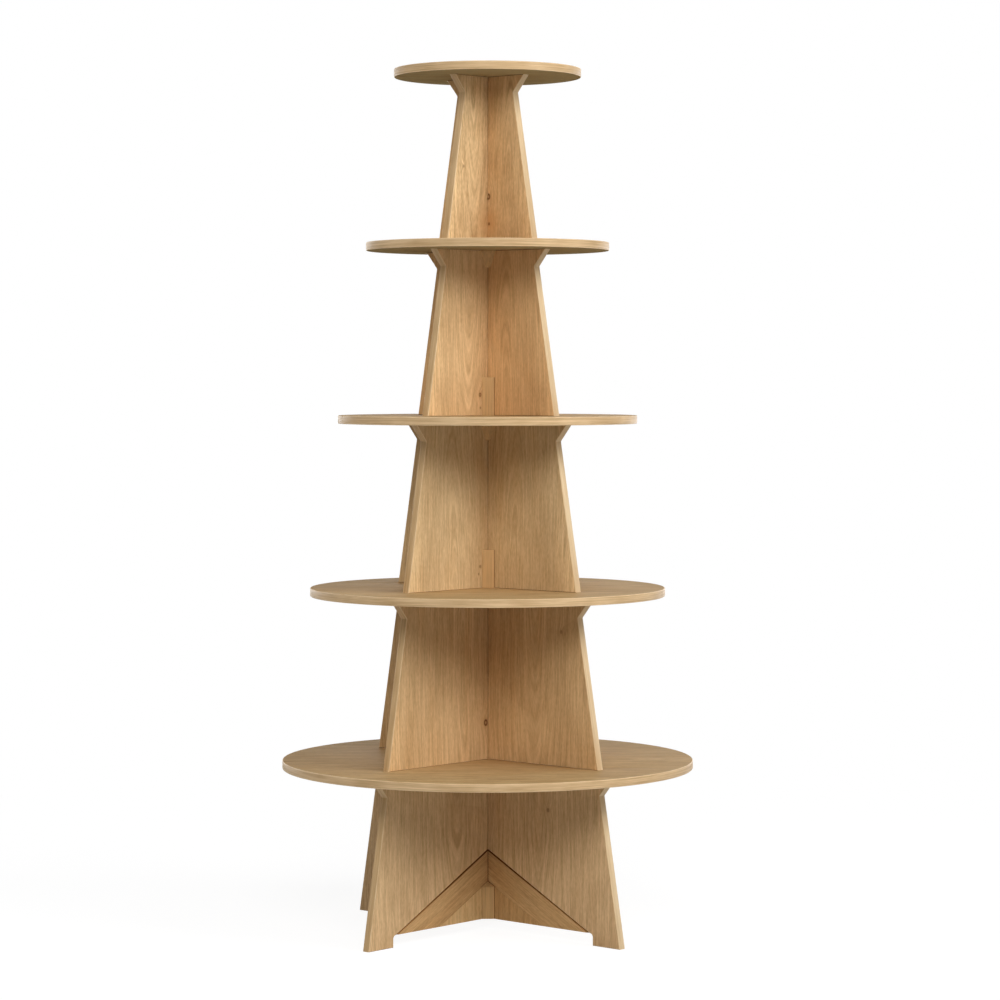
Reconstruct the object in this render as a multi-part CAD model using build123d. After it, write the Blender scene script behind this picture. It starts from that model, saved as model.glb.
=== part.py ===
from build123d import *
import os

# A free-standing display rack in veneered board. Five round shelves step in towards the top, and
# each one stands on a pedestal of two panels halved into each other as a cross.
# Millimetres. The origin is the centre of the footprint on the floor, +Z is up, and the panels of
# every pedestal run along X and along Y.

# Overall sizes
tier_count = 5
board = 15.0
pedestal_height = 303.0
base_shelf_diameter = 760.0
shelf_diameter_step = 104.0

# Outline of a pedestal panel
foot_inset = 55.0
side_taper = 48.0
head_height = 31.0
head_reach_out = 26.0
neck_radius = 3.0
edge_ease = 0.8

# Halving joint of two panels
lap_clearance = 0.3
lap_end_clearance = 0.5

# Feet, notch and arch of the base panels
foot_width = 64.0
notch_height = 22.0
notch_radius = 7.0
crown_height = 150.0

# Rails and gussets in the arch of the base panels
rail_drop = 60.0
shadow_gap = 2.4
shadow_depth = 4.0

# Three-cornered posts and glue blocks in the inner corners
block_leg = 16.0
block_height = 70.0
head_block_leg = 19.0
head_block_tip = 6.0
head_block_height = 31.0
block_nose = 1.0
blocked_tiers = (3, 4)

# Dowel pins between the pedestals and the shelves, in the wings of the panels along X
dowel_diameter = 8.0
dowel_clearance = 0.2
dowel_bite = 15.0
top_dowel_bite = 8.0
dowel_end_clearance = 0.5
dowel_inset = 40.0

# Sizes that follow from the ones above
half_board = board / 2
tier_pitch = pedestal_height + board
head_start = pedestal_height - head_height
dowel_hole_radius = (dowel_diameter + dowel_clearance) / 2
top_tier = tier_count
wing_turns = {"east": 0, "north": 90, "west": 180, "south": 270}
pinned_wings = ("east", "west")
corner_turns = {"northeast": 0, "northwest": 90, "southwest": 180, "southeast": 270}


def shelf_radius(tier):
    return (base_shelf_diameter - (tier - 1) * shelf_diameter_step) / 2


def pedestal_floor(tier):
    return (tier - 1) * tier_pitch


def shelf_floor(tier):
    return pedestal_floor(tier) + pedestal_height


def foot_reach(tier):
    return shelf_radius(tier) - foot_inset


def neck_reach(tier):
    return foot_reach(tier) - side_taper


def head_reach(tier):
    return neck_reach(tier) + head_reach_out


def dowel_reach(tier):
    # Distance of the pins in shelf number tier from the middle. The next pedestal's foot sets it,
    # and the head of the last pedestal sets it under the top shelf.
    if tier < top_tier:
        return foot_reach(tier + 1) - dowel_inset
    return head_reach(tier) - dowel_inset


# The arch of a base panel starts where the rounded corner of the notch ends
foot_inner_reach = foot_reach(1) - foot_width
arch_reach = foot_inner_reach - notch_radius
arch_slope = (crown_height - notch_height) / (arch_reach - half_board)
rail_seat_height = crown_height - rail_drop
gusset_reach = half_board + (rail_seat_height - notch_height) / arch_slope


def polygon(points):
    # A point that comes twice, where a piece ends at a corner of another, counts once
    return make_face(Polyline(*dict.fromkeys(points), close=True))


def panel_outline(tier):
    # Feet apart, sides leaning in to the neck, then a head that spreads under the shelf
    foot = foot_reach(tier)
    neck = neck_reach(tier)
    head = head_reach(tier)
    points = [
        (-foot, 0),
        (foot, 0),
        (neck, head_start),
        (head, pedestal_height),
        (-head, pedestal_height),
        (-neck, head_start),
    ]
    outline = polygon(points)
    necks = outline.vertices().filter_by_position(Axis.Y, head_start, head_start)
    return fillet(necks, neck_radius)


def arch_cutout():
    # Rounded notch between the feet, and above it the arch with a flat crown one board wide
    notch = Rectangle(2 * foot_inner_reach, 2 * notch_height)
    notch = fillet(notch.vertices().group_by(Axis.Y)[-1], notch_radius)
    arch = polygon(
        [
            (-arch_reach, 0),
            (arch_reach, 0),
            (arch_reach, notch_height),
            (half_board, crown_height),
            (-half_board, crown_height),
            (-arch_reach, notch_height),
        ]
    )
    return notch + arch


def eased_board(outline):
    # A flat piece of board with the edges of both faces eased all round
    piece = extrude(outline, amount=half_board, both=True)
    faces = piece.faces().sort_by(Axis.Z)
    return chamfer(faces[0].edges() + faces[-1].edges(), edge_ease)


def upright(piece):
    # Stands a flat piece up: its width stays on X and its height turns to +Z
    return Rot(90, 0, 0) * piece


def lap_slot(tier, opens_up):
    # The slot that lets one panel slide over the other, half of the height that both panels have
    lowest = crown_height if tier == 1 else 0
    middle = (lowest + pedestal_height) / 2
    width = board + lap_clearance
    if opens_up:
        start = middle - lap_end_clearance / 2
        height = pedestal_height - start
    else:
        start = 0
        height = middle + lap_end_clearance / 2
    return Pos(0, start + height / 2, 0) * Box(width, height, 2 * board)


def dowel_holes(tier):
    # Blind holes for the pins in both wings of a panel, in the panel's own flat position
    spots = [(dowel_reach(tier), pedestal_height)]
    if tier > 1:
        spots.append((dowel_reach(tier - 1), 0))
    holes = []
    for reach, height in spots:
        for side in (-1, 1):
            hole = Cylinder(dowel_hole_radius, 2 * dowel_bite, rotation=(90, 0, 0))
            holes.append(Pos(side * reach, height, 0) * hole)
    return holes


def pedestal_panel(tier, along_y):
    outline = panel_outline(tier)
    if tier == 1:
        outline = outline - arch_cutout()
    panel = eased_board(outline)
    panel = panel - lap_slot(tier, opens_up=not along_y)
    if not along_y:
        for hole in dowel_holes(tier):
            panel = panel - hole
    panel = upright(panel)
    if along_y:
        panel = Rot(0, 0, 90) * panel
    return Pos(0, 0, pedestal_floor(tier)) * panel


def shelf(tier):
    radius = shelf_radius(tier)
    disc = Cylinder(radius, board, align=(Align.CENTER, Align.CENTER, Align.MIN))
    disc = chamfer(disc.edges().filter_by(GeomType.CIRCLE), edge_ease)
    # The pins pass through every shelf but the top one, which keeps its upper face whole
    depth = top_dowel_bite if tier == top_tier else board
    hole = Cylinder(dowel_hole_radius, depth, align=(Align.CENTER, Align.CENTER, Align.MIN))
    for wing in pinned_wings:
        disc = disc - Rot(0, 0, wing_turns[wing]) * Pos(dowel_reach(tier), 0, 0) * hole
    return Pos(0, 0, shelf_floor(tier)) * disc


def dowels(tier):
    # The pins of one shelf, one in each pinned wing
    upper_bite = 0 if tier == top_tier else dowel_bite
    shelf_bite = top_dowel_bite if tier == top_tier else board
    length = dowel_bite + shelf_bite + upper_bite - 2 * dowel_end_clearance
    pin = Cylinder(dowel_diameter / 2, length, align=(Align.CENTER, Align.CENTER, Align.MIN))
    start = shelf_floor(tier) - dowel_bite + dowel_end_clearance
    pins = []
    for wing in pinned_wings:
        pins.append(Rot(0, 0, wing_turns[wing]) * Pos(dowel_reach(tier), 0, start) * pin)
    return Compound(children=pins)


def inner_end(wing):
    # The north and south pieces meet at the middle, and the east and west ones butt against them
    return half_board if wing in ("east", "west") else 0


def rail_outline(wing, lowered):
    # A wing's rail follows the arch, and lowered keeps it that far below the arch's edge
    inner = inner_end(wing)
    return polygon(
        [
            (gusset_reach, notch_height),
            (arch_reach - lowered / arch_slope, notch_height),
            (half_board, crown_height - lowered),
            (inner, crown_height - lowered),
            (inner, rail_seat_height),
            (half_board, rail_seat_height),
        ]
    )


def base_rail(wing):
    # A tongue in mid thickness touches the panel, and the gap beside it shows as a dark line
    body = extrude(rail_outline(wing, shadow_gap), amount=half_board, both=True)
    tongue = extrude(rail_outline(wing, 0), amount=half_board - shadow_depth, both=True)
    return Rot(0, 0, wing_turns[wing]) * upright(body + tongue)


def base_gusset(wing):
    # The rest of the arch, from the notch line up to the rail
    inner = inner_end(wing)
    outline = polygon(
        [
            (inner, notch_height),
            (gusset_reach, notch_height),
            (half_board, rail_seat_height),
            (inner, rail_seat_height),
        ]
    )
    return Rot(0, 0, wing_turns[wing]) * upright(extrude(outline, amount=half_board, both=True))


def corner_section(leg):
    # Three-cornered, with blunt noses where it runs out on the panels
    return polygon([(0, 0), (leg, 0), (leg, block_nose), (block_nose, leg), (0, leg)])


def in_corner(block, corner, height):
    seat = Pos(half_board, half_board, height)
    return Rot(0, 0, corner_turns[corner]) * seat * block


def base_post(corner):
    # The upper end is cut to the slope of the rails, and is highest in the corner
    height = rail_seat_height - notch_height
    post = extrude(corner_section(block_leg), amount=height)
    roof = Plane(origin=(0, 0, height), z_dir=(arch_slope, arch_slope, 1))
    return in_corner(split(post, bisect_by=roof, keep=Keep.BOTTOM), corner, notch_height)


def foot_block(tier, corner):
    block = extrude(corner_section(block_leg), amount=block_height)
    return in_corner(block, corner, pedestal_floor(tier))


def head_block(tier, corner):
    # Wide under the shelf, and cut to a slope that runs down to a small tip in the corner
    block = extrude(corner_section(head_block_leg), amount=-head_block_height)
    slope = (head_block_leg + block_nose - head_block_tip) / head_block_height
    taper = Plane(origin=(head_block_tip, 0, -head_block_height), z_dir=(1, 1, -slope))
    return in_corner(split(block, bisect_by=taper, keep=Keep.BOTTOM), corner, shelf_floor(tier))


def build_rack():
    nodes = {}
    for tier in range(1, tier_count + 1):
        nodes[f"pedestal_{tier}_panel_x"] = pedestal_panel(tier, along_y=False)
        nodes[f"pedestal_{tier}_panel_y"] = pedestal_panel(tier, along_y=True)
        nodes[f"shelf_{tier}"] = shelf(tier)
        nodes[f"shelf_{tier}_dowels"] = dowels(tier)
    for wing in wing_turns:
        nodes[f"base_rail_{wing}"] = base_rail(wing)
        nodes[f"base_gusset_{wing}"] = base_gusset(wing)
    for corner in corner_turns:
        nodes[f"base_post_{corner}"] = base_post(corner)
        for tier in blocked_tiers:
            nodes[f"pedestal_{tier}_foot_block_{corner}"] = foot_block(tier, corner)
            nodes[f"pedestal_{tier}_head_block_{corner}"] = head_block(tier, corner)
    return nodes


os.makedirs("parts", exist_ok=True)
for name, shape in build_rack().items():
    export_step(shape, f"parts/{name}.step")
    print(name)
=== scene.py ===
"""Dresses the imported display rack: veneered boards, banded edges, and the photograph's view."""

import logging
import math
import random
from dataclasses import dataclass, replace
from enum import Enum, IntEnum

import bmesh
import bpy
from mathutils import Matrix, Vector


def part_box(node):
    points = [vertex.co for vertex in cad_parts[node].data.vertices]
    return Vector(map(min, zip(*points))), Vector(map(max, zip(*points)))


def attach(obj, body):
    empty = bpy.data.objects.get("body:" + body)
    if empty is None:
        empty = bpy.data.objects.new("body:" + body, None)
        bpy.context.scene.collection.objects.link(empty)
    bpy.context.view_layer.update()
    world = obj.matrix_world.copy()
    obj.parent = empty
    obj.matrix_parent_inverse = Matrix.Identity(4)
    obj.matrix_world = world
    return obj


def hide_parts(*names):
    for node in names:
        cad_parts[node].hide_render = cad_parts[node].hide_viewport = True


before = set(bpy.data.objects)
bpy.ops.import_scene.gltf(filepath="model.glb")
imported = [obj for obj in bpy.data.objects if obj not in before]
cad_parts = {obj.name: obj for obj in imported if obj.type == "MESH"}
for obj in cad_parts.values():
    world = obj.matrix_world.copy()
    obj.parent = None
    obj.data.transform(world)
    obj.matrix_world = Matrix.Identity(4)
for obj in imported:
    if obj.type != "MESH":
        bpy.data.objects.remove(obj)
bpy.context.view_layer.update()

LOG = logging.getLogger("rack")
BODY = "root"
MILLIMETRES = 1000.0

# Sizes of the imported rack, in millimetres
HALF_BOARD = 7.5
BLOCK_LEG = 16.0
BLOCK_HEIGHT = 70.0
SIDE_TAPER = 48.0
HEAD_START = 272.0
SIDE_LEAN = SIDE_TAPER / HEAD_START
GAP_DEPTH = 1.0

# Heights between which the rails close the arch, and how near a board's end is, in metres
ARCH_FOOT = 0.0225
ARCH_TOP = 0.151
SEAM_REACH = 0.001

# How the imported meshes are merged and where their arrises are, in metres and radians
MERGE_DISTANCE = 1e-5
FLAT_ANGLE = math.radians(1.0)
ARRIS_ANGLE = math.radians(25.0)

# Parts of a face's normal along a direction that tell its kind
FACE_LEAN = 0.95
EDGE_LEAN = 0.3
SLOPING_LEAN = 0.2
UNDER_LEAN = 0.9
UPPER_LEAN = 0.3

Colour = tuple[float, float, float]
Socket = bpy.types.NodeSocket
Sockets = tuple[Socket, Socket, Socket]
Terms = list[tuple[Socket, float]]
Material = bpy.types.Material
Face = bmesh.types.BMFace


def linear(value: int) -> float:
    """Turns one channel of 0 to 255 into the linear value that shaders take."""
    share = value / 255
    return share / 12.92 if share <= 0.04045 else ((share + 0.055) / 1.055) ** 2.4


def srgb(red: int, green: int, blue: int) -> Colour:
    """Gives the linear colour of three channels of 0 to 255."""
    return linear(red), linear(green), linear(blue)


def scaled(colour: Colour, share: Colour | float) -> Colour:
    """Multiplies a colour by one share, or by a share for each channel."""
    shares = share if isinstance(share, tuple) else (share,) * 3
    return tuple(value * part for value, part in zip(colour, shares))


def grey(value: float) -> Colour:
    """Gives a linear grey."""
    return (value,) * 3


def put_in(name: str, data: bpy.types.ID) -> bpy.types.Object:
    """Puts an object with its data into the scene."""
    thing = bpy.data.objects.new(name, data)
    bpy.context.scene.collection.objects.link(thing)
    return thing


# Painted shade: the colour of the dark lines where parts meet and of the gap over the rails.
PAINTED_SHADE = srgb(124, 76, 32)


class Seed(IntEnum):
    """Where the seeds of the random patterns start. The number of a tier or wing is added."""

    LIPPING_X = 3
    LIPPING_Y = 4
    RIM = 5
    PINS = 7
    BLOCKS = 8
    PANELS = 19
    SHELF_MIDDLES = 40
    SHELVES = 60
    UNDERSIDES = 70
    RAILS = 80
    GUSSETS = 90


def pattern_shift(seed: int) -> float:
    """Chooses how far a pattern is moved, so that boards differ."""
    return random.Random(seed).uniform(20.0, 900.0)


class Finish(IntEnum):
    """The places of a piece's finishes in its list of materials."""

    FACE = 0
    EDGE = 1
    ARRIS = 2
    SEAM = 3
    UNDERSIDE = 4


@dataclass(frozen=True)
class BoardAxes:
    """The directions of one board. Its thickness is at right angles to both.

    Attributes:
        across: The way over the grain, in the board's face.
        grain: The way the grain runs.
    """

    across: Vector
    grain: Vector

    @property
    def thickness(self) -> Vector:
        """The way out of the board's face."""
        return self.grain.cross(self.across).normalized()

    def turn(self) -> Matrix:
        """Gives the rotation that brings across to X, the thickness to Y and the grain to Z."""
        return Matrix((self.across.normalized(), self.thickness, self.grain.normalized()))


UP = Vector((0.0, 0.0, 1.0))
PANEL_X_AXES = BoardAxes(across=Vector((-1.0, 0.0, 0.0)), grain=UP)
PANEL_Y_AXES = BoardAxes(across=Vector((0.0, -1.0, 0.0)), grain=UP)
SHELF_AXES = BoardAxes(across=Vector((-1.0, 1.0, 0.0)), grain=Vector((1.0, 1.0, 0.0)))


class Way(Enum):
    """The two ways that the upright boards run."""

    X = "x"
    Y = "y"

    @property
    def axes(self) -> BoardAxes:
        """The directions of an upright board."""
        return PANEL_X_AXES if self is Way.X else PANEL_Y_AXES


class Heading(Enum):
    """A way that something points from the rack's middle."""

    @property
    def label(self) -> str:
        """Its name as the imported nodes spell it."""
        return self.name.lower()

    @property
    def outward(self) -> Vector:
        """The way it points."""
        return Vector((*self.value, 0.0)).normalized()


class Wing(Heading):
    """The four wings of every pedestal."""

    EAST = (1.0, 0.0)
    NORTH = (0.0, 1.0)
    WEST = (-1.0, 0.0)
    SOUTH = (0.0, -1.0)

    @property
    def number(self) -> int:
        """Its place among the wings."""
        return list(Wing).index(self)

    @property
    def way(self) -> Way:
        """The way that the wing's boards run."""
        return Way.X if self in (Wing.EAST, Wing.WEST) else Way.Y


class Corner(Heading):
    """The four inner corners between the wings."""

    NORTHEAST = (1.0, 1.0)
    NORTHWEST = (-1.0, 1.0)
    SOUTHWEST = (-1.0, -1.0)
    SOUTHEAST = (1.0, -1.0)


@dataclass(frozen=True)
class Layer:
    """One layer of noise in a finish.

    Attributes:
        size: Width of its blots over the grain, out of the face and along the grain, in millimetres.
        offset: Added to the finish's own shift.
        detail: How many finer layers it has.
        rough: How strong those are.
        weight: How strongly it darkens and lightens.
    """

    size: tuple[float, float, float]
    offset: float = 0.0
    detail: float = 1.0
    rough: float = 0.5
    weight: float = 1.0

    def in_lines(self, width: float) -> "Layer":
        """Turns its first size from lines of a width into millimetres."""
        return replace(self, size=(self.size[0] * width, self.size[1], self.size[2]))


class Tree:
    """A node tree with short ways to add and join its nodes."""

    def __init__(self, node_tree: bpy.types.NodeTree) -> None:
        """Takes the tree that the nodes go into."""
        self.nodes = node_tree.nodes
        self.links = node_tree.links

    def feed(self, socket: Socket, value: object) -> None:
        """Links an output to a socket, or sets the socket to a plain value.

        Args:
            socket: The input.
            value: An output, a number, or a vector or colour.
        """
        if isinstance(value, bpy.types.NodeSocket):
            self.links.new(value, socket)
        elif isinstance(value, tuple) and len(value) == 3 and len(socket.default_value) == 4:
            socket.default_value = (*value, 1.0)
        else:
            socket.default_value = value

    def add(self, kind: str, *values: object, **settings: object) -> bpy.types.Node:
        """Adds a node.

        Args:
            kind: The last part of its type's name.
            values: What its first inputs get.
            settings: What its properties get.

        Returns:
            The node.
        """
        node = self.nodes.new(f"ShaderNode{kind}")
        for name, setting in settings.items():
            setattr(node, name, setting)
        for socket, value in zip(node.inputs, values):
            self.feed(socket, value)
        return node

    def math(self, operation: str, *values: object) -> Socket:
        """Adds an arithmetic node and gives its result."""
        return self.add("Math", *values, operation=operation).outputs[0]

    def product(self, first: object, second: object) -> Socket:
        """Multiplies two values."""
        return self.math("MULTIPLY", first, second)

    def length(self, first: Socket, second: Socket) -> Socket:
        """Gives the length of two sides at right angles."""
        squares = self.math("ADD", self.product(first, first), self.product(second, second))
        return self.math("SQRT", squares)

    def place(self, turn: Matrix) -> Socket:
        """Finds the millimetres over a board's grain, out of its face and along its grain."""
        spot = self.add("TexCoord").outputs["Object"]
        return self.add("Mapping", spot, (0.0,) * 3, turn.to_euler("XYZ"), (MILLIMETRES,) * 3).outputs[0]

    def split(self, vector: Socket) -> Sockets:
        """Gives the three parts of a vector."""
        return tuple(self.add("SeparateXYZ", vector).outputs)

    def noise(self, vector: Socket, layer: Layer, shift: float = 0.0) -> Socket:
        """Adds a noise that swings about zero.

        Args:
            vector: The place on the board in millimetres.
            layer: What the noise is like.
            shift: Moves the pattern, so that boards differ.

        Returns:
            Mostly within a quarter of zero.
        """
        seed = shift + layer.offset
        shares = tuple(1.0 / width for width in layer.size)
        stretched = self.add("VectorMath", vector, shares, operation="MULTIPLY")
        shifts = (seed, seed * 0.37, seed * 0.61)
        moved = self.add("VectorMath", stretched.outputs[0], shifts, operation="ADD")
        node = self.add("TexNoise", moved.outputs[0], 0.0, 1.0, layer.detail, layer.rough)
        return self.math("SUBTRACT", node.outputs["Fac"], 0.5)

    def weighted(self, vector: Socket, layers: tuple[Layer, ...], shift: float) -> Terms:
        """Gives the noise of each layer with the layer's weight."""
        return [(self.noise(vector, layer, shift), layer.weight) for layer in layers]

    def mixture(self, terms: Terms, middle: float = 0.5) -> Socket:
        """Adds weighted values up around a middle.

        Args:
            terms: The values with their weights.
            middle: The sum where all of them are zero.

        Returns:
            The sum, kept between 0 and 1.
        """
        total: object = middle
        for value, weight in terms:
            total = self.math("MULTIPLY_ADD", value, weight, total)
        return self.add("Clamp", total).outputs[0]

    def rise(self, value: Socket, start: float, end: float) -> Socket:
        """Goes smoothly from 0 to 1 as a value goes from start to end."""
        return self.add("MapRange", value, start, end, interpolation_type="SMOOTHSTEP").outputs["Result"]

    def fall(self, value: Socket, start: float, end: float) -> Socket:
        """Goes smoothly from 1 to 0 as a value goes from start to end."""
        return self.math("SUBTRACT", 1.0, self.rise(value, start, end))

    def blend(self, share: object, first: object, second: object) -> Socket:
        """Mixes two colours.

        Args:
            share: How much there is of the second, from 0 to 1.
            first: The first colour.
            second: The second colour.

        Returns:
            The mixed colour.
        """
        node = self.add("Mix", share, data_type="RGBA")
        self.feed(node.inputs[6], first)
        self.feed(node.inputs[7], second)
        return node.outputs[2]

    def seen_share(self) -> Socket:
        """Gives 1 where the camera, gloss or glass looks, and 0 where light falls on the object."""
        rays = self.add("LightPath").outputs
        most = self.math("MAXIMUM", rays["Is Camera Ray"], rays["Is Glossy Ray"])
        return self.math("MAXIMUM", most, rays["Is Transmission Ray"])


class Coat(Tree):
    """A material's node tree, which ends in a principled shader."""

    def __init__(self, name: str, specular: float = 0.15) -> None:
        """Makes a material with only its shader and its output.

        Args:
            name: The material's name.
            specular: How strongly the surface mirrors; 0.5 is usual for a bare lacquer.
        """
        self.material = bpy.data.materials.new(name)
        self.material.use_nodes = True
        super().__init__(self.material.node_tree)
        self.nodes.clear()
        self.shader = self.add("BsdfPrincipled")
        self.shader.inputs["Specular IOR Level"].default_value = specular
        self.output = self.add("OutputMaterial", self.shader.outputs["BSDF"])

    def cover(self, colour: object, roughness: object) -> None:
        """Sets the shader's colour and roughness."""
        self.feed(self.shader.inputs["Base Color"], colour)
        self.feed(self.shader.inputs["Roughness"], roughness)

    def relief(self, height: Socket, depth: float) -> None:
        """Gives the surface a fine relief.

        Args:
            height: The relief, from 0 to 1.
            depth: Its depth in metres.
        """
        node = self.add("Bump", 1.0, depth)
        self.feed(node.inputs["Height"], height)
        self.feed(self.shader.inputs["Normal"], node.outputs["Normal"])


@dataclass(frozen=True)
class Knot:
    """A small knot in the face of a board.

    Attributes:
        across: Millimetres from the board's middle.
        along: Millimetres over the floor.
        size: Its width in millimetres.
        depth: How dark it is, from 0 to 1.
        hollow: How light its core stays.
        glow: How warm the wood round it is.
    """

    across: float
    along: float
    size: float
    depth: float = 0.8
    hollow: float = 0.0
    glow: float = 0.0

    def distance(self, coat: Coat, parts: Sockets) -> Socket:
        """Measures from the knot's middle in half widths, which are a little longer along the grain.

        Args:
            coat: The finish.
            parts: The place on the board.

        Returns:
            The distance, which is far on the board's back.
        """
        over = coat.product(coat.math("SUBTRACT", parts[0], self.across), 2.0 / self.size)
        along = coat.product(coat.math("SUBTRACT", parts[2], self.along), 2.0 * KNOT_STRETCH / self.size)
        behind = coat.math("LESS_THAN", parts[1], 0.0)
        return coat.math("MULTIPLY_ADD", behind, KNOT_FAR, coat.length(over, along))


@dataclass(frozen=True)
class KnotZone:
    """A zone round a knot's middle, measured in half widths of the knot.

    Attributes:
        inner: Distance where it starts to fade out.
        outer: Distance where it ends.
        tint: Share of each channel of the wood's colour that it has.
    """

    inner: float
    outer: float
    tint: Colour = grey(1.0)

    def share(self, coat: Coat, distance: Socket, most: float) -> Socket:
        """Gives how much of the zone there is at a distance, up to the most that it reaches."""
        return coat.product(coat.fall(distance, self.inner, self.outer), most)


KNOT_STRETCH = 0.8
KNOT_FAR = 100.0
KNOT_GLOW = KnotZone(0.5, 13.0, (0.97, 0.80, 0.64))
KNOT_HALO = KnotZone(0.6, 2.6, (0.72, 0.55, 0.42))
KNOT_HALO_SHARE = 0.35
KNOT_BODY = KnotZone(0.7, 1.15, (0.30, 0.22, 0.17))
KNOT_CORE = KnotZone(0.15, 0.6)
KNOT_SWAY = KnotZone(0.0, 5.0)
KNOT_SWAY_SHARE = 0.9
ENDLESS = 10000.0


@dataclass(frozen=True)
class Seam:
    """A thin dark line along the grain, on both sides of a board's middle, in millimetres: a dark joint
    where parts meet, with painted shade in it.

    Attributes:
        beside: How far it is from the board's middle.
        lowest: Where it starts along the grain.
        highest: Where it ends.
        share: How dark it is.
        width: How far from its own middle it has faded out.
        lean: How far it leans in, in radians.
        core: How far from its own middle it starts to fade.
    """

    beside: float = HALF_BOARD
    lowest: float = -ENDLESS
    highest: float = ENDLESS
    share: float = 0.4
    width: float = 1.8
    lean: float = 0.0
    core: float = 0.4

    def line(self, coat: Coat, parts: Sockets) -> Socket:
        """Draws the seam.

        Args:
            coat: The finish.
            parts: The place on the board.

        Returns:
            How dark the seam is there.
        """
        side = coat.product(coat.math("ABSOLUTE", parts[0]), math.cos(self.lean))
        side = coat.math("MULTIPLY_ADD", parts[2], math.sin(self.lean), side)
        off = coat.math("ABSOLUTE", coat.math("SUBTRACT", side, self.beside))
        line = coat.product(coat.fall(off, self.core, self.width), self.share)
        above = coat.math("GREATER_THAN", parts[2], self.lowest)
        below = coat.math("LESS_THAN", parts[2], self.highest)
        return coat.product(line, coat.product(above, below))


@dataclass(frozen=True)
class Sapwood:
    """Painted light: paler wood in the lower outer corners of a tapered panel, where the least shade
    falls, in millimetres.

    Attributes:
        reach: Half the panel's width at the foot.
        foot: Height of the foot over the floor.
        share: How strong the painted light is at the very side.
        width: How far from the side it has faded out.
        low: Height over the foot where it starts to fade out.
        high: Height over the foot where it ends.
        wander: How far its inner side swings.
    """

    reach: float
    foot: float
    share: float
    width: float = 46.0
    low: float = 40.0
    high: float = 215.0
    wander: float = 40.0

    def paleness(self, coat: Coat, parts: Sockets, swing: Socket) -> Socket:
        """Paints the light in the lower outer corners.

        Args:
            coat: The finish.
            parts: The place on the board.
            swing: How the grain swings there.

        Returns:
            How strong the painted light is there.
        """
        height = coat.math("SUBTRACT", parts[2], self.foot)
        side = coat.math("MULTIPLY_ADD", height, -SIDE_LEAN, self.reach)
        inside = coat.math("SUBTRACT", side, coat.math("ABSOLUTE", parts[0]))
        inside = coat.math("MULTIPLY_ADD", swing, self.wander, inside)
        beside = coat.fall(inside, 0.0, self.width)
        below = coat.fall(height, self.low, self.high)
        return coat.product(coat.product(beside, below), self.share)


@dataclass(frozen=True)
class VeneerPattern:
    """The layers of a veneer's pattern. A range says where in its layer a thing starts and is full.

    Attributes:
        lines: Counted in lines over the grain, like the finer lines and the pores.
        spread: How far each channel goes with the contrast.
        relief: Depth of the relief in metres.
    """

    swing: Layer = Layer((95.0, 12.0, 420.0))
    bands: Layer = Layer((40.0, 14.0, 500.0), 5.0, weight=0.35)
    lines: Layer = Layer((1.0, 14.0, 150.0), 11.0, rough=0.6, weight=0.8)
    fine: Layer = Layer((0.45, 14.0, 60.0), 17.0, rough=0.6, weight=1.35)
    clouds: Layer = Layer((45.0, 16.0, 60.0), 23.0, detail=2.0, weight=0.3)
    fibres: Layer = Layer((1.5, 9.0, 9.0), 29.0)
    warmth: Layer = Layer((34.0, 15.0, 330.0), 37.0)
    warm_range: tuple[float, float] = (0.02, 0.24)
    warm_share: float = 0.5
    pores: Layer = Layer((0.45, 14.0, 90.0), 43.0)
    pore_range: tuple[float, float] = (0.06, 0.2)
    patches: Layer = Layer((50.0, 16.0, 90.0), 47.0)
    patch_range: tuple[float, float] = (-0.12, 0.12)
    pore_tint: Colour = (0.66, 0.60, 0.54)
    spread: Colour = (0.8, 1.0, 1.2)
    relief: float = 0.00012


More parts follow.
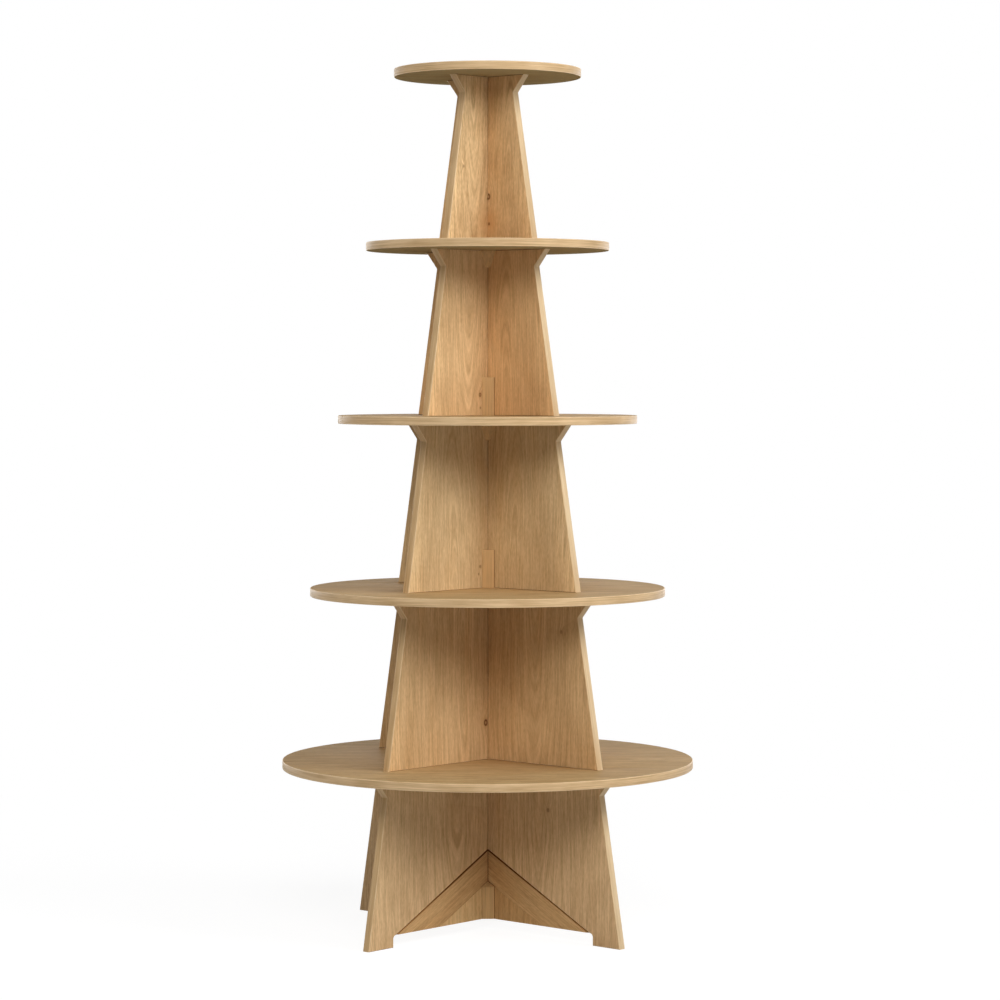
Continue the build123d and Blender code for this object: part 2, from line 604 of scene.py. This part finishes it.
@dataclass(frozen=True)
class Veneer:
    """Light veneer: fine lines that swing round a crown of arches, soft bands, and satin lacquer.

    Attributes:
        base: Colour of the wood between its lines.
        flush: What the warm streaks keep of each channel.
        sap: What the painted light in the lower outer corners makes of each channel.
        pore_share: How dark the hair-thin pores are.
        contrast: How far the lines go from the base, as a share of it.
        line_width: In millimetres.
        arch_slant: How quickly the arches close in along the grain.
        wander: How far the lines swing sideways, in millimetres.
    """

    base: Colour = srgb(222, 181, 131)
    flush: Colour = (0.985, 0.925, 0.865)
    sap: Colour = (1.3, 1.34, 1.38)
    pore_share: float = 0.4
    contrast: float = 0.26
    line_width: float = 5.0
    arch_slant: float = 0.085
    wander: float = 34.0
    roughness: float = 0.5
    specular: float = 0.08
    pattern: VeneerPattern = VeneerPattern()

    def shade(self, way: float, tint: Colour | float) -> Colour:
        """Gives one end of the contrast, -1 for dark or 1 for pale, multiplied by a tint."""
        shares = tuple(1.0 + way * self.contrast * part for part in self.pattern.spread)
        return scaled(scaled(self.base, shares), tint)

    def wood(self, coat: Coat, tone: Socket, tint: Colour | float = 1.0) -> Socket:
        """Gives the tinted wood, which is dark where its tone is 0 and pale where it is 1."""
        return coat.blend(tone, self.shade(-1.0, tint), self.shade(1.0, tint))

    def pored(self, coat: Coat, colour: Socket, places: tuple[Socket, Socket], shift: float) -> Socket:
        """Adds the pores to the wood.

        Args:
            coat: The finish.
            colour: The wood without pores.
            places: The place on the board, plain and with the arches straightened.
            shift: Moves the pattern.

        Returns:
            The wood with its pores.
        """
        spot, rings = places
        layer = self.pattern.pores.in_lines(self.line_width)
        pores = coat.rise(coat.noise(rings, layer, shift), *self.pattern.pore_range)
        patches = coat.rise(coat.noise(spot, self.pattern.patches, shift), *self.pattern.patch_range)
        share = coat.product(pores, coat.product(patches, self.pore_share))
        return coat.blend(share, colour, scaled(self.base, self.pattern.pore_tint))

    def knotted(self, coat: Coat, colour: Socket, knot: Knot, distance: Socket) -> Socket:
        """Adds a knot to the wood.

        Args:
            coat: The finish.
            colour: The wood without it.
            knot: The knot.
            distance: How far its middle is.

        Returns:
            The wood with the knot.
        """
        if knot.glow:
            glow = KNOT_GLOW.share(coat, distance, knot.glow)
            colour = coat.blend(glow, colour, scaled(self.base, KNOT_GLOW.tint))
        halo = KNOT_HALO.share(coat, distance, KNOT_HALO_SHARE * knot.depth)
        colour = coat.blend(halo, colour, scaled(self.base, KNOT_HALO.tint))
        body = coat.fall(distance, KNOT_BODY.inner, KNOT_BODY.outer)
        ring = coat.math("SUBTRACT", body, KNOT_CORE.share(coat, distance, knot.hollow))
        return coat.blend(coat.product(ring, knot.depth), colour, scaled(self.base, KNOT_BODY.tint))

    def make(
        self,
        name: str,
        axes: BoardAxes,
        seed: int,
        middle: tuple[float, float],
        knots: tuple[Knot, ...] = (),
        seams: tuple[Seam, ...] = (),
        seam_axes: BoardAxes | None = None,
        sapwood: Sapwood | None = None,
    ) -> Material:
        """Makes the material of a board's faces.

        Args:
            name: The material's name.
            axes: The board's directions.
            seed: Chooses the pattern.
            middle: The middle of the arches, over and along the grain, in millimetres.
            knots: In the face that the thickness points out of.
            seams: The dark lines.
            seam_axes: Their directions, if not the board's own.
            sapwood: The painted light in the lower outer corners, if any.

        Returns:
            The material.
        """
        pattern = self.pattern
        shift = pattern_shift(seed)
        coat = Coat(name, self.specular)
        spot = coat.place(axes.turn())
        parts = coat.split(spot)
        swing = coat.noise(spot, pattern.swing, shift)
        over = coat.math("MULTIPLY_ADD", swing, self.wander, coat.math("SUBTRACT", parts[0], middle[0]))
        along = coat.product(coat.math("SUBTRACT", parts[2], middle[1]), self.arch_slant)
        ring = coat.length(over, along)
        distances = [knot.distance(coat, parts) for knot in knots]
        for knot, distance in zip(knots, distances):
            near = coat.fall(distance, KNOT_SWAY.inner, KNOT_SWAY.outer)
            ring = coat.math("MULTIPLY_ADD", near, knot.size * KNOT_SWAY_SHARE, ring)
        rings = coat.add("CombineXYZ", ring, parts[1], parts[2]).outputs[0]
        width = self.line_width
        ringed = (pattern.bands, pattern.lines.in_lines(width), pattern.fine.in_lines(width))
        terms = coat.weighted(rings, ringed, shift)
        terms += coat.weighted(spot, (pattern.clouds, pattern.fibres), shift)
        _, lines, fine, _, fibres = (noise for noise, _ in terms)
        tone = coat.mixture(terms)
        warmth = coat.rise(coat.noise(spot, pattern.warmth, shift), *pattern.warm_range)
        warmth = coat.product(warmth, pattern.warm_share)
        colour = coat.blend(warmth, self.wood(coat, tone), self.wood(coat, tone, self.flush))
        # Painted light: the lower outer corners are paler.
        if sapwood:
            paleness = sapwood.paleness(coat, parts, swing)
            colour = coat.blend(paleness, colour, self.wood(coat, tone, self.sap))
        colour = self.pored(coat, colour, (spot, rings), shift)
        seam_parts = coat.split(coat.place(seam_axes.turn())) if seam_axes else parts
        # The seams: dark joints with painted shade along them.
        for seam in seams:
            colour = coat.blend(seam.line(coat, seam_parts), colour, PAINTED_SHADE)
        for knot, distance in zip(knots, distances):
            colour = self.knotted(coat, colour, knot, distance)
        coat.cover(colour, coat.mixture([(fibres, 0.25), (lines, -0.2)], self.roughness))
        coat.relief(coat.mixture([(fibres, 1.0), (fine, 0.8)]), pattern.relief)
        return coat.material


@dataclass(frozen=True)
class SolidWood:
    """Solid wood with straight lines.

    Attributes:
        deep: Colour of the dark lines.
        pale: Colour of the light lines.
        layers: The lines, the fibres, and soft patches where it has them.
        middle: How pale it is between its lines.
        line_relief: How far the lines stand out, as a share of the fibres.
        relief: Depth of the relief in metres.
    """

    deep: Colour
    pale: Colour
    layers: tuple[Layer, ...]
    middle: float = 0.55
    roughness: float = 0.45
    specular: float = 0.15
    line_relief: float = 0.5
    relief: float = 0.0001

    def make(self, name: str, axes: BoardAxes, seed: Seed) -> Material:
        """Makes the material.

        Args:
            name: The material's name.
            axes: The board's directions.
            seed: Chooses the pattern.

        Returns:
            The material.
        """
        coat = Coat(name, self.specular)
        spot = coat.place(axes.turn())
        terms = coat.weighted(spot, self.layers, pattern_shift(seed))
        lines, fibres, *_ = (noise for noise, _ in terms)
        colour = coat.blend(coat.mixture(terms, self.middle), self.deep, self.pale)
        coat.cover(colour, coat.mixture([(fibres, 0.3)], self.roughness))
        coat.relief(coat.mixture([(fibres, 1.0), (lines, self.line_relief)]), self.relief)
        return coat.material


def edging(deep: Colour, pale: Colour, streak: float = 3.2) -> SolidWood:
    """Gives pale edging, with streaks of a width along the edge."""
    streaks = Layer((150.0, streak, 150.0), detail=2.0, rough=0.6, weight=2.0)
    return SolidWood(deep, pale, (streaks, EDGING_FIBRES, EDGING_PATCHES))


def bare_wood(base: Colour, roughness: float = 0.55) -> SolidWood:
    """Gives the plain wood of the posts, the glue blocks and the pins."""
    return SolidWood(
        deep=scaled(base, 0.8),
        pale=scaled(base, 1.2),
        layers=BARE_LAYERS,
        middle=0.5,
        roughness=roughness,
        specular=BARE_MIRROR,
        line_relief=0.6,
        relief=0.00012,
    )


EDGING_FIBRES = Layer((22.0, 0.8, 22.0), 7.0, weight=0.6)
EDGING_PATCHES = Layer((60.0, 30.0, 60.0), 13.0, weight=0.9)
BARE_LAYERS = (
    Layer((3.5, 3.5, 120.0), detail=2.0, rough=0.6, weight=1.6),
    Layer((0.9, 0.9, 24.0), 7.0, weight=0.7),
)
BARE_MIRROR = 0.05


@dataclass(frozen=True)
class Arris:
    """The line where a face meets an edge, paler than both: sanded wood with a painted highlight on it.

    Attributes:
        mottled: Its colour in patches.
        mottling: Where the patches are.
    """

    pale: Colour = srgb(245, 217, 173)
    worn: Colour = srgb(224, 188, 140)
    wear: Layer = Layer((30.0, 30.0, 30.0), 41.0, detail=3.0, rough=0.6, weight=2.4)
    roughness: float = 0.42

    def make(self, name: str) -> Material:
        """Makes the material.

        Args:
            name: The material's name.

        Returns:
            The material.
        """
        coat = Coat(name)
        wear = coat.noise(coat.place(Matrix.Identity(3)), self.wear)
        colour = coat.blend(coat.mixture([(wear, self.wear.weight)], 0.6), self.worn, self.pale)
        coat.cover(colour, self.roughness)
        return coat.material


@dataclass(frozen=True)
class StainedGap:
    """Painted shade in the gap over the rails: deep at the crown of the arch, thin towards the feet.

    Attributes:
        low: Height in millimetres where it is thinnest.
        high: Height from which it is deep.
        blots: How uneven it is; the weight is in millimetres of height.
    """

    deep: Colour = PAINTED_SHADE
    thin: Colour = srgb(186, 140, 90)
    low: float = 20.0
    high: float = 125.0
    blots: Layer = Layer((18.0, 18.0, 18.0), 53.0, detail=2.0, weight=60.0)
    roughness: float = 0.7

    def make(self, name: str) -> Material:
        """Makes the material.

        Args:
            name: The material's name.

        Returns:
            The material.
        """
        coat = Coat(name, BARE_MIRROR)
        spot = coat.place(Matrix.Identity(3))
        height = coat.split(spot)[2]
        uneven = coat.math("MULTIPLY_ADD", coat.noise(spot, self.blots), self.blots.weight, height)
        share = coat.rise(uneven, self.low, self.high)
        coat.cover(coat.blend(share, self.thin, self.deep), self.roughness)
        return coat.material


@dataclass(frozen=True)
class SharedFinishes:
    """The finishes that many pieces share: those of seams, edges, arrises and solid blocks."""

    seam: Material
    gap: Material
    arris: Material
    lipping_x: Material
    lipping_y: Material
    rim: Material
    wood: Material

    @classmethod
    def make(cls) -> "SharedFinishes":
        """Makes each shared finish once.

        Returns:
            The finishes.
        """
        lipping_x = edging(srgb(226, 193, 148), srgb(247, 221, 180))
        # lipping_y is darker than lipping_x as painted shade, for the board ends that face away from the
        # key light.
        lipping_y = edging(srgb(196, 159, 111), srgb(225, 191, 143))
        rim = edging(srgb(190, 155, 109), srgb(236, 203, 158), streak=2.4)
        return cls(
            # The seam finish is painted shade along the arrises where parts meet.
            seam=Arris(pale=PAINTED_SHADE, worn=scaled(PAINTED_SHADE, 0.8)).make("seam"),
            # Painted shade in the gap over the rails.
            gap=StainedGap().make("gap"),
            # The arris finish is partly a painted highlight.
            arris=Arris().make("arris"),
            lipping_x=lipping_x.make("lipping_x", PANEL_X_AXES, Seed.LIPPING_X),
            lipping_y=lipping_y.make("lipping_y", PANEL_Y_AXES, Seed.LIPPING_Y),
            rim=rim.make("rim", SHELF_AXES, Seed.RIM),
            wood=bare_wood(srgb(206, 167, 116)).make("block_wood", PANEL_X_AXES, Seed.BLOCKS),
        )

    def lipping(self, way: Way) -> Material:
        """Gives the edging of the boards that run one way."""
        return self.lipping_x if way is Way.X else self.lipping_y


@dataclass
class FinishedPiece:
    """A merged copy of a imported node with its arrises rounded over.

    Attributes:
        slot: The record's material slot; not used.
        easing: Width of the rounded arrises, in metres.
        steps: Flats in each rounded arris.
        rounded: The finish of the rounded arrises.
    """

    node: str
    slot: str
    easing: float = 0.0003
    steps: int = 2
    rounded: Finish = Finish.ARRIS

    def finish_of(self, face: Face, thickness: Vector) -> Finish:
        """Chooses the finish of a face by the way that it faces.

        Args:
            face: The face.
            thickness: The way out of the board.

        Returns:
            The finish.
        """
        lean = abs(face.normal.dot(thickness))
        if lean > FACE_LEAN:
            return Finish.FACE
        return Finish.EDGE if lean < EDGE_LEAN else Finish.ARRIS

    def build(self, thickness: Vector, materials: list[Material]) -> None:
        """Makes the copy, gives it its finishes and lets it ride on the rack.

        Args:
            thickness: The way out of the board's faces.
            materials: One for each finish, in the order of Finish.
        """
        work = bmesh.new()
        work.from_mesh(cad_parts[self.node].data)
        bmesh.ops.remove_doubles(work, verts=work.verts, dist=MERGE_DISTANCE)
        bmesh.ops.dissolve_limit(work, angle_limit=FLAT_ANGLE, verts=work.verts, edges=work.edges)
        for face in work.faces:
            face.material_index = self.finish_of(face, thickness)
            face.smooth = True
        mesh = bpy.data.meshes.new(f"{self.node}_finished")
        work.to_mesh(mesh)
        work.free()
        for material in materials:
            mesh.materials.append(material)
        piece = put_in(f"{self.node}_finished", mesh)
        bevel = piece.modifiers.new("eased", "BEVEL")
        bevel.width = self.easing
        bevel.segments = self.steps
        bevel.limit_method = "ANGLE"
        bevel.angle_limit = ARRIS_ANGLE
        bevel.harden_normals = True
        bevel.material = self.rounded
        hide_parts(self.node)
        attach(piece, BODY)
        LOG.info("finished %s with %d faces", self.node, len(mesh.polygons))


@dataclass
class FinishedPanel(FinishedPiece):
    """A panel. Its arrises carry painted shade where it stands on a board or where the rails close its
    arch.
    """

    def finish_of(self, face: Face, thickness: Vector) -> Finish:
        """Chooses the finish of a face by the way that it faces and its height.

        Args:
            face: The face.
            thickness: The way out of the board.

        Returns:
            The finish.
        """
        usual = super().finish_of(face, thickness)
        if usual is not Finish.ARRIS or abs(face.normal.z) < SLOPING_LEAN:
            return usual
        lowest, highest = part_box(self.node)
        height = face.calc_center_median().z
        stands = height < lowest.z + SEAM_REACH or height > highest.z - SEAM_REACH
        in_arch = lowest.z < SEAM_REACH and ARCH_FOOT < height < ARCH_TOP
        return Finish.SEAM if stands or in_arch else usual


@dataclass
class FinishedShelf(FinishedPiece):
    """A shelf, with a finish of its own underneath, painted darker as shade."""

    def finish_of(self, face: Face, thickness: Vector) -> Finish:
        """Chooses the finish of one face by the way that it faces."""
        return Finish.UNDERSIDE if face.normal.z < -UNDER_LEAN else super().finish_of(face, thickness)


@dataclass
class FinishedRail(FinishedPiece):
    """A rail. The gap along its upper edge is painted with shade."""

    def finish_of(self, face: Face, thickness: Vector) -> Finish:
        """Chooses the finish of a face by the way that it faces and its depth in the gap.

        Args:
            face: The face.
            thickness: The way out of the board.

        Returns:
            The finish.
        """
        usual = super().finish_of(face, thickness)
        depth = abs(face.calc_center_median().dot(thickness)) * MILLIMETRES
        sunk = usual is Finish.FACE and depth < HALF_BOARD - GAP_DEPTH
        return Finish.SEAM if sunk or face.normal.z > UPPER_LEAN else usual


@dataclass
class Assembly:
    """A part of the rack. It holds the finishes that its pieces share with others."""

    shared: SharedFinishes

    def block(self, name: str, corner: Corner, rounded: Finish = Finish.ARRIS) -> None:
        """Makes and dresses one three-cornered block or post."""
        wood = self.shared.wood
        piece = FinishedPiece(name, "block_wood", easing=0.0005, rounded=rounded)
        piece.build(corner.outward, [wood, wood, wood, self.shared.seam])


@dataclass
class Shelf(Assembly):
    """One round shelf with veneered faces and a banded rim.

    Attributes:
        tier: Its number, from the floor.
        underside: The finish of its lower face, which is bare of lacquer and painted darker as shade.
        easing: Width of its rounded arrises, in metres.
    """

    tier: int
    # The top's veneer is darker than the panels' partly as painted shade.
    veneer: Veneer = Veneer(base=srgb(194, 161, 114), contrast=0.34, specular=0.02)
    # The underside's darker colour is painted shade.
    underside: Veneer = Veneer(base=srgb(172, 150, 108), specular=0.0)
    easing: float = 0.0004

    def build(self) -> None:
        """Makes and dresses the shelf."""
        name = f"shelf_{self.tier}"
        shared = self.shared
        chance = random.Random(Seed.SHELF_MIDDLES + self.tier)
        middle = (chance.uniform(-120.0, 120.0), chance.uniform(-200.0, 200.0))
        faces = self.veneer.make(f"{name}_veneer", SHELF_AXES, Seed.SHELVES + self.tier, middle)
        below = self.underside.make(f"{name}_underside", SHELF_AXES, Seed.UNDERSIDES + self.tier, middle)
        piece = FinishedShelf(name, "shelf_board", easing=self.easing)
        piece.build(SHELF_AXES.thickness, [faces, shared.rim, shared.arris, shared.seam, below])


@dataclass(frozen=True)
class PanelLook:
    """What one panel of a pedestal looks like.

    Attributes:
        base: Colour of its veneer.
        knots: In the face that its thickness points out of.
        sap: How strong the painted light in its lower outer corners is.
    """

    base: Colour
    knots: tuple[Knot, ...] = ()
    sap: float = 0.0
    contrast: float = Veneer.contrast


@dataclass
class Pedestal(Assembly):
    """Two panels halved into each other, with their glue blocks where the tier has them.

    Attributes:
        tier: Its number, from the floor.
        has_blocks: Whether glue blocks stand in the inner corners.
    """

    tier: int
    along_x: PanelLook
    along_y: PanelLook
    has_blocks: bool = False

    def seams(self, way: Way, foot: float) -> tuple[Seam, ...]:
        """Gives the joint with the crossing panel, and the painted shade beside the blocks at the foot,
        which only the panels along X get.

        Args:
            way: The way the panel runs.
            foot: Height of its foot in millimetres.

        Returns:
            The panel's seams.
        """
        crossing = Seam()
        if not self.has_blocks or way is Way.Y:
            return (crossing,)
        # Painted shade beside the foot blocks, on the panels along X only.
        block_shade = Seam(HALF_BOARD + BLOCK_LEG, foot, foot + BLOCK_HEIGHT, share=0.75, width=2.0)
        return crossing, block_shade

    def panel(self, way: Way, look: PanelLook) -> None:
        """Makes and dresses one panel.

        Args:
            way: The way the panel runs.
            look: What it looks like.
        """
        name = f"pedestal_{self.tier}_panel_{way.value}"
        lowest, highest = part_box(name)
        foot = lowest.z * MILLIMETRES
        reach = max(highest.x, highest.y) * MILLIMETRES
        chance = random.Random(f"{way.value}{self.tier}")
        side = 1.0 if way is Way.Y else -1.0
        middle = (side * reach * chance.uniform(0.25, 0.6), foot + chance.uniform(-60.0, 420.0))
        faces = Veneer(look.base, contrast=look.contrast).make(
            f"{name}_veneer",
            way.axes,
            Seed.PANELS + 10 * self.tier,
            middle,
            look.knots,
            self.seams(way, foot),
            # Painted light in the lower outer corners.
            sapwood=Sapwood(reach, foot, look.sap),
        )
        finishes = [faces, self.shared.lipping(way), self.shared.arris, self.shared.seam]
        FinishedPanel(name, "panel_board").build(way.axes.thickness, finishes)

    def build(self) -> None:
        """Makes and dresses the whole pedestal."""
        self.panel(Way.X, self.along_x)
        self.panel(Way.Y, self.along_y)
        if not self.has_blocks:
            return
        for corner in Corner:
            for place in ("foot", "head"):
                self.block(f"pedestal_{self.tier}_{place}_block_{corner.label}", corner)


@dataclass
class BaseBracing(Assembly):
    """Rails, gussets and posts that close the arch of the base pedestal.

    Attributes:
        gusset_veneers: Of the gussets along X and along Y.
        roof_shares: How dark the painted shade over the posts is along X and along Y.
        post_shares: How dark the painted shade beside the posts is along X and along Y.
        rail_middle: Of the arches in a rail's grain, in millimetres.
    """

    rail_veneer: Veneer = Veneer(
        srgb(208, 167, 116), contrast=0.25, line_width=4.0, arch_slant=0.02, wander=10.0, specular=0.03
    )
    gusset_veneers: tuple[Veneer, Veneer] = (
        Veneer(base=srgb(205, 163, 111), wander=12.0, specular=0.03),
        Veneer(base=srgb(222, 185, 132), wander=12.0, specular=0.03),
    )
    roof_shares: tuple[float, float] = (0.9, 0.6)
    post_shares: tuple[float, float] = (0.85, 0.3)
    rail_middle: tuple[float, float] = (400.0, 0.0)
    gusset_middle: tuple[float, float] = (300.0, 0.0)

    def rail(self, wing: Wing) -> None:
        """Makes and dresses the rail of one wing.

        Args:
            wing: The wing.
        """
        name = f"base_rail_{wing.label}"
        lowest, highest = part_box("base_rail_east")
        slope = math.atan2(highest.z - lowest.z, highest.x - lowest.x)
        sloping = BoardAxes(
            across=wing.outward * math.sin(slope) + UP * math.cos(slope),
            grain=wing.outward * math.cos(slope) - UP * math.sin(slope),
        )
        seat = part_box(f"base_gusset_{wing.label}")[1].z * MILLIMETRES
        # Painted shade over the post, darker along X than along Y.
        roof = Seam(
            beside=HALF_BOARD * math.sin(slope) + seat * math.cos(slope),
            lowest=seat - BLOCK_LEG * math.tan(slope),
            share=self.roof_shares[wing.way is Way.Y],
            width=3.2,
            lean=math.pi / 2 - slope,
        )
        upright = wing.way.axes
        faces = self.rail_veneer.make(
            f"{name}_veneer",
            sloping,
            Seed.RAILS + wing.number,
            self.rail_middle,
            seams=(Seam(share=0.7, width=2.0), roof),
            seam_axes=upright,
        )
        edges = self.shared.lipping(wing.way)
        piece = FinishedRail(name, "rail_board", easing=0.0005, rounded=Finish.SEAM)
        piece.build(upright.thickness, [faces, edges, edges, self.shared.gap])

    def gusset(self, wing: Wing) -> None:
        """Makes and dresses the gusset of one wing.

        Args:
            wing: The wing.
        """
        name = f"base_gusset_{wing.label}"
        upright = wing.way.axes
        side = wing.way is Way.Y
        seed = Seed.GUSSETS + wing.number
        # Painted shade beside the post, darker along X than along Y.
        seams = (Seam(HALF_BOARD + BLOCK_LEG, share=self.post_shares[side], width=2.2),)
        veneer = self.gusset_veneers[side]
        faces = veneer.make(f"{name}_veneer", upright, seed, self.gusset_middle, seams=seams)
        edges = self.shared.lipping(wing.way)
        piece = FinishedPiece(name, "panel_board", rounded=Finish.FACE)
        piece.build(upright.thickness, [faces, edges, edges, self.shared.seam])

    def build(self) -> None:
        """Makes and dresses the bracing of all four wings."""
        for wing in Wing:
            self.rail(wing)
            self.gusset(wing)
        for corner in Corner:
            self.block(f"base_post_{corner.label}", corner, Finish.FACE)


@dataclass
class Pins:
    """The dowel pins, hidden in the boards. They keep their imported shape."""

    wood: SolidWood = bare_wood(srgb(226, 190, 140), roughness=0.7)

    def build(self) -> None:
        """Gives the pins of every shelf their wood."""
        upright = self.wood.make("pin_wood", PANEL_X_AXES, Seed.PINS)
        for name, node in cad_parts.items():
            if name.endswith("_dowels"):
                for slot in node.material_slots:
                    slot.material = upright
                LOG.info("dressed %s", name)


@dataclass(frozen=True)
class Lamp:
    """A round soft lamp that looks at the rack's middle.

    Attributes:
        aside: Degrees that it stands right of the camera, round the rack.
        rise: Degrees that it stands over the rack's middle.
        power: In watts.
    """

    name: str
    aside: float
    rise: float
    power: float
    size: float = 3.0
    distance: float = 6.0


@dataclass
class Studio:
    """The floor, the lamps and the camera, in metres, degrees and widths of the picture.

    Attributes:
        azimuth: From the front round to the camera.
        pitch: How far the camera looks down.
        aside: How far left of the picture's middle the rack stands.
        middle: Height of the point that the lamps look at.
        floor_grey: How pale the floor is for the light that it throws back.
        shadow: How pale the floor near the rack looks under the lamps.
        glow: The same without them.
        clear: How far from the rack it starts to go white and is white.
    """

    azimuth: float = 42.0
    distance: float = 5.9753
    height: float = 1.0298
    pitch: float = 2.2275
    focal: float = 3.23419
    aside: float = 0.01241
    middle: float = 0.8
    room_light: float = 0.03
    floor_size: float = 20.0
    floor_grey: float = 0.68
    shadow: float = 0.2
    glow: float = 0.9
    clear: tuple[float, float] = (0.5, 2.2)
    lamps: tuple[Lamp, ...] = (
        Lamp("front", aside=0.0, rise=30.0, power=152.0),
        Lamp("right", aside=60.0, rise=30.0, power=164.0, size=3.5),
        Lamp("front_right", aside=30.0, rise=30.0, power=22.0, size=2.0),
        Lamp("left", aside=-90.0, rise=25.0, power=66.0),
        Lamp("back", aside=180.0, rise=30.0, power=20.0),
        Lamp("back_left", aside=-150.0, rise=4.0, power=52.0),
        Lamp("back_right", aside=150.0, rise=4.0, power=52.0),
    )

    def camera(self) -> None:
        """Puts the camera where the photograph was taken from."""
        data = bpy.data.cameras.new("view")
        data.sensor_width = 36.0
        data.lens = self.focal * data.sensor_width
        data.clip_end = 100.0
        camera = put_in("view", data)
        turn = math.radians(self.azimuth)
        camera.location = (self.distance * math.sin(turn), -self.distance * math.cos(turn), self.height)
        yaw = turn - math.atan(self.aside / self.focal)
        camera.rotation_euler = (math.radians(90.0 - self.pitch), 0.0, yaw)
        bpy.context.scene.camera = camera

    def light(self, lamp: Lamp) -> None:
        """Hangs one lamp and turns it to the rack.

        Args:
            lamp: The lamp.
        """
        data = bpy.data.lights.new(lamp.name, "AREA")
        data.shape = "DISK"
        data.size = lamp.size
        data.energy = lamp.power
        hung = put_in(lamp.name, data)
        turn = math.radians(self.azimuth - 90.0 + lamp.aside)
        rise = math.radians(lamp.rise)
        level = math.cos(rise)
        way = Vector((math.cos(turn) * level, math.sin(turn) * level, math.sin(rise)))
        hung.location = Vector((0.0, 0.0, self.middle)) + way * lamp.distance
        hung.rotation_euler = way.to_track_quat("Z", "Y").to_euler()

    def floor(self) -> None:
        """Lays a pale floor that keeps a soft shadow near the rack and runs out to white."""
        work = bmesh.new()
        bmesh.ops.create_grid(work, x_segments=1, y_segments=1, size=self.floor_size)
        mesh = bpy.data.meshes.new("floor")
        work.to_mesh(mesh)
        work.free()
        floor = put_in("floor", mesh)
        coat = Coat("floor", specular=0.0)
        coat.cover(grey(self.floor_grey), 1.0)
        place = coat.add("TexCoord").outputs["Object"]
        length = coat.add("VectorMath", place, operation="LENGTH")
        away = coat.rise(length.outputs["Value"], *self.clear)
        shaded = coat.add("BsdfDiffuse", coat.blend(away, grey(self.shadow), grey(0.0)))
        glowing = coat.add("Emission", coat.blend(away, grey(self.glow), grey(1.0)))
        seen = coat.add("AddShader", shaded.outputs[0], glowing.outputs[0])
        choice = coat.add("MixShader", coat.seen_share(), coat.shader.outputs[0], seen.outputs[0])
        coat.feed(coat.output.inputs["Surface"], choice.outputs[0])
        mesh.materials.append(coat.material)

    def world(self) -> None:
        """Gives the room its even light and its white background."""
        world = bpy.data.worlds.new("room")
        world.use_nodes = True
        tree = Tree(world.node_tree)
        even = tree.nodes["Background"]
        tree.feed(even.inputs["Color"], grey(1.0))
        tree.feed(even.inputs["Strength"], self.room_light)
        white = tree.add("Background", grey(1.0))
        choice = tree.add("MixShader", tree.seen_share(), even.outputs[0], white.outputs[0])
        tree.feed(tree.nodes["World Output"].inputs["Surface"], choice.outputs[0])
        bpy.context.scene.world = world

    def build(self) -> None:
        """Sets up the whole room."""
        self.camera()
        self.floor()
        self.world()
        for lamp in self.lamps:
            self.light(lamp)
        bpy.context.scene.view_settings.view_transform = "Standard"
        LOG.info("set up the room with %d lamps", len(self.lamps))


# The panels along X and along Y of each pedestal from the floor up, with the photograph's knots and how
# strong the painted light in their lower outer corners is
PANEL_LOOKS = (
    (
        PanelLook(srgb(222, 185, 138), (Knot(-155.0, 236.0, 7.0, 0.5),)),
        PanelLook(srgb(224, 188, 141), sap=0.2),
    ),
    (
        PanelLook(srgb(211, 173, 124), (Knot(-186.0, 563.0, 6.0, 0.4),), sap=0.45),
        PanelLook(srgb(217, 181, 133), (Knot(13.5, 386.0, 11.0, 1.0, hollow=0.7),), sap=0.75),
    ),
    (
        PanelLook(srgb(214, 181, 134), sap=0.9),
        PanelLook(
            srgb(217, 186, 140), (Knot(29.0, 676.0, 5.0, 0.6), Knot(33.0, 662.0, 4.0, 0.5)), sap=0.9
        ),
    ),
    (
        PanelLook(srgb(219, 176, 124), sap=0.6),
        PanelLook(
            srgb(220, 183, 134),
            (Knot(29.0, 992.0, 7.0, 0.8, hollow=0.5), Knot(28.0, 968.0, 4.0, 0.5)),
            sap=0.85,
            contrast=0.3,
        ),
    ),
    (
        PanelLook(
            srgb(218, 178, 127),
            (Knot(-9.0, 1356.0, 10.0, 1.0, hollow=0.7), Knot(-10.5, 1306.0, 5.0, 0.8, glow=0.6)),
            sap=1.0,
            contrast=0.3,
        ),
        PanelLook(
            srgb(219, 185, 137),
            (
                Knot(73.0, 1409.0, 5.0, 0.5),
                Knot(9.5, 1306.0, 7.0, 0.1, glow=0.5),
                Knot(8.5, 1352.0, 4.0, 0.7),
            ),
            sap=1.0,
            contrast=0.38,
        ),
    ),
)
BLOCKED_TIERS = (3, 4)


def main() -> None:
    """Dresses every part of the rack and sets up the room."""
    logging.basicConfig(level=logging.INFO, format="%(message)s")
    shared = SharedFinishes.make()
    for tier, (along_x, along_y) in enumerate(PANEL_LOOKS, start=1):
        Pedestal(shared, tier, along_x, along_y, tier in BLOCKED_TIERS).build()
        Shelf(shared, tier).build()
    BaseBracing(shared).build()
    Pins().build()
    Studio().build()


if __name__ == "__main__":
    main()
